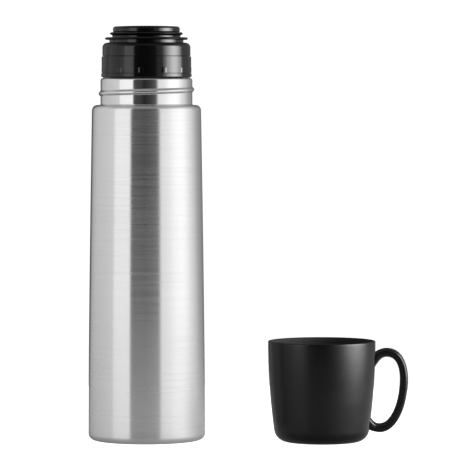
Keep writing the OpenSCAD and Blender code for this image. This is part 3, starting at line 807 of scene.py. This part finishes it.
PIECES = [
    (make_jacket, "flask", "outer_shell", "brushed_steel", steel),
    (make_neck, "flask", "outer_shell", "bright_steel", bright),
    # The washer's black is painted shade: it stands in for the shadow line under the collar.
    (make_washer, "neck_washer", "lip_gasket", "black_rubber", rubber),
    (make_collar, "stopper", "stopper_collar", "stopper_plastic", gloss),
    (make_shroud, "stopper", "stopper_shroud", "stopper_plastic", gloss),
    (make_knob, "knob", "pour_knob", "stopper_plastic", gloss),
    (make_knob_disc, "knob", "knob_disc", "stopper_plastic", gloss),
    (make_mug, "cup", "mug", "mug_plastic", satin),
    (make_handle, "cup", "mug", "mug_plastic", satin),
]
black = []
for make, body, node, slot, material in PIECES:
    piece = make()
    paint(piece, material)
    if material in (gloss, satin):
        black.append(piece)
    if node == "mug":
        piece.visible_glossy = False
    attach(piece, body)
    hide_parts(node)

CAD_LOOKS = {
    "bottom_pan": pan, "port_cover": bright, "vacuum_seal": solder_glass(),
    "inner_wall": inside_steel, "inner_neck": inside_steel, "inner_base": inside_steel, "foil_shield": foil(),
    "getter": sintered(), "getter_clip": pan,
    "stopper_plug": gloss, "foam_core": foam(), "plug_floor": gloss, "plug_gasket": seal,
    "valve_stem": gloss, "valve_seal": seal, "stem_clip": bright, "knob_o_ring": rubber,
}
for node, material in CAD_LOOKS.items():
    paint(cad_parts[node], material)


# ---------------------------------------------------------------- floor, light and camera

def make_floor():
    """Table top: white to the camera, and to everything else a faint painted glow, light given out by the floor
    though it is no lamp, that lights the feet from below.

    The glow is stronger towards the right and the camera, and close to the two feet the floor carries a painted
    shadow, darker in colour and in glow.
    """
    radius, around = 480 * MM, 96
    glow_mid, glow_right, glow_back = 0.33, 0.14, 0.16
    # Painted shadow round each foot: where it starts, where it ends, and how dark it gets there.
    flask_near, flask_far, flask_shade = 0.046, 0.085, 0.5
    mug_near, mug_far, mug_shade = 0.03, 0.075, 0.45
    mesh = bpy.data.meshes.new("floor")
    corners = [(radius * math.cos(2 * math.pi * i / around), radius * math.sin(2 * math.pi * i / around), 0)
               for i in range(around)]
    mesh.from_pydata(corners, [], [tuple(range(around))])
    floor = bpy.data.objects.new("floor", mesh)
    bpy.context.scene.collection.objects.link(floor)
    m = Nodes("white floor")
    new = m.tree.nodes.new
    seen_white = 1.1
    m.set(Roughness=0.3, IOR=1.9, Emission_Color=(1, 1, 1, 1))
    parts = new("ShaderNodeSeparateXYZ")
    m.link(m.vector("NORMALIZE", m.where)["Vector"], parts.inputs["Vector"])
    # Painted glow: light that the floor gives out, brighter towards the right and the camera.
    sideways = m.math("ADD", glow_mid, m.math("MULTIPLY", parts.outputs["X"], glow_right))
    glow = m.math("SUBTRACT", sideways, m.math("MULTIPLY", parts.outputs["Y"], glow_back))
    # Painted shadow: the floor's colour and glow grow darker close to the flask's foot and the mug's foot.
    shade = m.math("MINIMUM",
                   m.range(m.distance(0.0, 0.0), flask_near, flask_far, flask_shade, 1.0),
                   m.range(m.distance(MUG_X * MM, MUG_Y * MM), mug_near, mug_far, mug_shade, 1.0))
    m.link(m.math("MULTIPLY", glow, shade), m.shader.inputs["Emission Strength"])
    m.link(m.mix(shade, (0.05, 0.05, 0.05), (0.5, 0.5, 0.5)), m.shader.inputs["Base Color"])
    white = new("ShaderNodeEmission")
    white.inputs["Strength"].default_value = seen_white
    both = new("ShaderNodeAddShader")
    m.link(m.shader.outputs["BSDF"], both.inputs[0])
    m.link(white.outputs["Emission"], both.inputs[1])
    path = new("ShaderNodeLightPath")
    pick = new("ShaderNodeMixShader")
    m.link(path.outputs["Is Camera Ray"], pick.inputs["Fac"])
    m.link(m.shader.outputs["BSDF"], pick.inputs[1])
    m.link(both.outputs["Shader"], pick.inputs[2])
    m.link(pick.outputs["Shader"], m.tree.nodes["Material Output"].inputs["Surface"])
    paint(floor, m.material)


def make_world():
    """White backdrop for the camera, and for reflections the walls of a small studio.

    The walls are given by their direction round the object: 0 is the camera's side and positive
    is to its right. Each entry is (angle, brightness). Overhead they give way to an even ceiling.
    """
    walls = [(-180, 0.06), (-158, 0.1), (-143, 0.55), (-122, 0.75), (-107, 0.8), (-94, 0.84), (-71, 0.93),
             (-68, 1.3), (-33, 1.32), (-31.5, 0.1), (-22, 0.07), (-12, 0.06), (-4, 0.03), (6, 0.05),
             (15, 0.08), (23, 0.13), (27, 0.3), (31.5, 1.1), (48, 1.25), (62, 1.5), (77, 1.6), (88, 1.5),
             (100, 1.2), (114, 0.9), (131, 0.52), (157, 0.28), (180, 0.06)]
    ceiling, ceiling_starts, ceiling_full = 0.38, 0.5, 0.85
    seen_white = 1.05
    # Brightness of a wall whose colour is 1: the ramp's colours are brightnesses divided by it.
    top = 1.7
    world = bpy.data.worlds.new("studio")
    bpy.context.scene.world = world
    world.use_nodes = True
    tree = world.node_tree
    tree.nodes.clear()
    new, link = tree.nodes.new, tree.links.new
    where = new("ShaderNodeTexCoord")
    parts = new("ShaderNodeSeparateXYZ")
    link(where.outputs["Generated"], parts.inputs["Vector"])
    turn = calculate(tree, "ARCTAN2", parts.outputs["X"], calculate(tree, "MULTIPLY", parts.outputs["Y"], -1.0))
    place = new("ShaderNodeMapRange")
    place.inputs["From Min"].default_value = -math.pi
    place.inputs["From Max"].default_value = math.pi
    link(turn, place.inputs["Value"])
    ramp = new("ShaderNodeValToRGB")
    link(place.outputs["Result"], ramp.inputs["Fac"])
    stops = ramp.color_ramp.elements
    while len(stops) < len(walls):
        stops.new(0.5)
    for stop, (angle, light) in zip(stops, walls):
        stop.position = (angle + 180.0) / 360.0
        stop.color = (light / top, light / top, light / top, 1.0)
    rise = new("ShaderNodeMapRange")
    rise.interpolation_type = "SMOOTHSTEP"
    rise.inputs["From Min"].default_value = ceiling_starts
    rise.inputs["From Max"].default_value = ceiling_full
    link(parts.outputs["Z"], rise.inputs["Value"])
    overhead = new("ShaderNodeMix")
    overhead.data_type = "RGBA"
    link(rise.outputs["Result"], overhead.inputs["Factor"])
    link(ramp.outputs["Color"], overhead.inputs["A"])
    overhead.inputs["B"].default_value = (ceiling / top, ceiling / top, ceiling / top, 1.0)
    studio = new("ShaderNodeBackground")
    studio.inputs["Strength"].default_value = top
    link(overhead.outputs["Result"], studio.inputs["Color"])
    backdrop = new("ShaderNodeBackground")
    backdrop.inputs["Color"].default_value = (1, 1, 1, 1)
    backdrop.inputs["Strength"].default_value = seen_white
    path = new("ShaderNodeLightPath")
    pick = new("ShaderNodeMixShader")
    link(path.outputs["Is Camera Ray"], pick.inputs["Fac"])
    link(studio.outputs["Background"], pick.inputs[1])
    link(backdrop.outputs["Background"], pick.inputs[2])
    out = new("ShaderNodeOutputWorld")
    link(pick.outputs["Shader"], out.inputs["Surface"])


STRIP_DISTANCE = 900.0
STRIP_TALL = 780.0
STRIP_MID = Vector((30 * MM, 0, STRIP_TALL / 2 * MM))


def make_strip(name, angle, width, radiance, spread, black_pieces):
    """Tall soft strip light for the black plastic, in the direction angle round the object, as in the world.

    It is brightest along its middle, and spread is the width of that bell as a part of the light's width.
    """
    light = bpy.data.lights.new(name, "AREA")
    light.shape = "RECTANGLE"
    light.size, light.size_y = width * MM, STRIP_TALL * MM
    light.energy = math.pi * width * STRIP_TALL * MM * MM
    light.use_nodes = True
    tree = light.node_tree
    tree.nodes.clear()
    new, link = tree.nodes.new, tree.links.new
    place = new("ShaderNodeNewGeometry")
    parts = new("ShaderNodeSeparateXYZ")
    link(place.outputs["Parametric"], parts.inputs["Vector"])
    off = calculate(tree, "DIVIDE", calculate(tree, "SUBTRACT", parts.outputs["X"], 0.5), spread)
    fall = calculate(tree, "MULTIPLY", calculate(tree, "MULTIPLY", off, off), -0.5)
    bell = calculate(tree, "POWER", math.e, fall)
    glow = new("ShaderNodeEmission")
    link(calculate(tree, "MULTIPLY", bell, radiance), glow.inputs["Strength"])
    out = new("ShaderNodeOutputLight")
    link(glow.outputs["Emission"], out.inputs["Surface"])
    lamp = bpy.data.objects.new(name, light)
    a = math.radians(angle)
    away = Vector((math.sin(a) * STRIP_DISTANCE * MM, -math.cos(a) * STRIP_DISTANCE * MM, 0))
    lamp.location = STRIP_MID + away
    lamp.rotation_euler = (STRIP_MID - lamp.location).to_track_quat("-Z", "Y").to_euler()
    lamp.visible_camera = False
    bpy.context.scene.collection.objects.link(lamp)
    group = bpy.data.collections.new(name + " receivers")
    for piece in black_pieces:
        group.objects.link(piece)
    lamp.light_linking.receiver_collection = group


def make_camera():
    """Long lens, a little lower than the flask's top and tilted slightly down, as in a product photograph."""
    lens, across, back, up, tilt = 276.05, 65.04, 2650, 262, 2.4
    camera = bpy.data.cameras.new("camera")
    camera.sensor_width = 36.0
    camera.lens = lens
    camera.clip_start = 0.1
    camera.clip_end = 50.0
    eye = bpy.data.objects.new("camera", camera)
    eye.location = (across * MM, -back * MM, up * MM)
    eye.rotation_euler = (math.radians(90.0 - tilt), 0, 0)
    bpy.context.scene.collection.objects.link(eye)
    bpy.context.scene.camera = eye


make_floor()
make_world()
make_strip("right strip", 74.0, 1050.0, 28.0, 0.235, black)
make_strip("left strip", -46.0, 420.0, 2.9, 2.0, black)
make_strip("far left strip", -86.0, 800.0, 0.7, 2.0, black)
make_camera()
bpy.context.scene.view_settings.view_transform = "Standard"
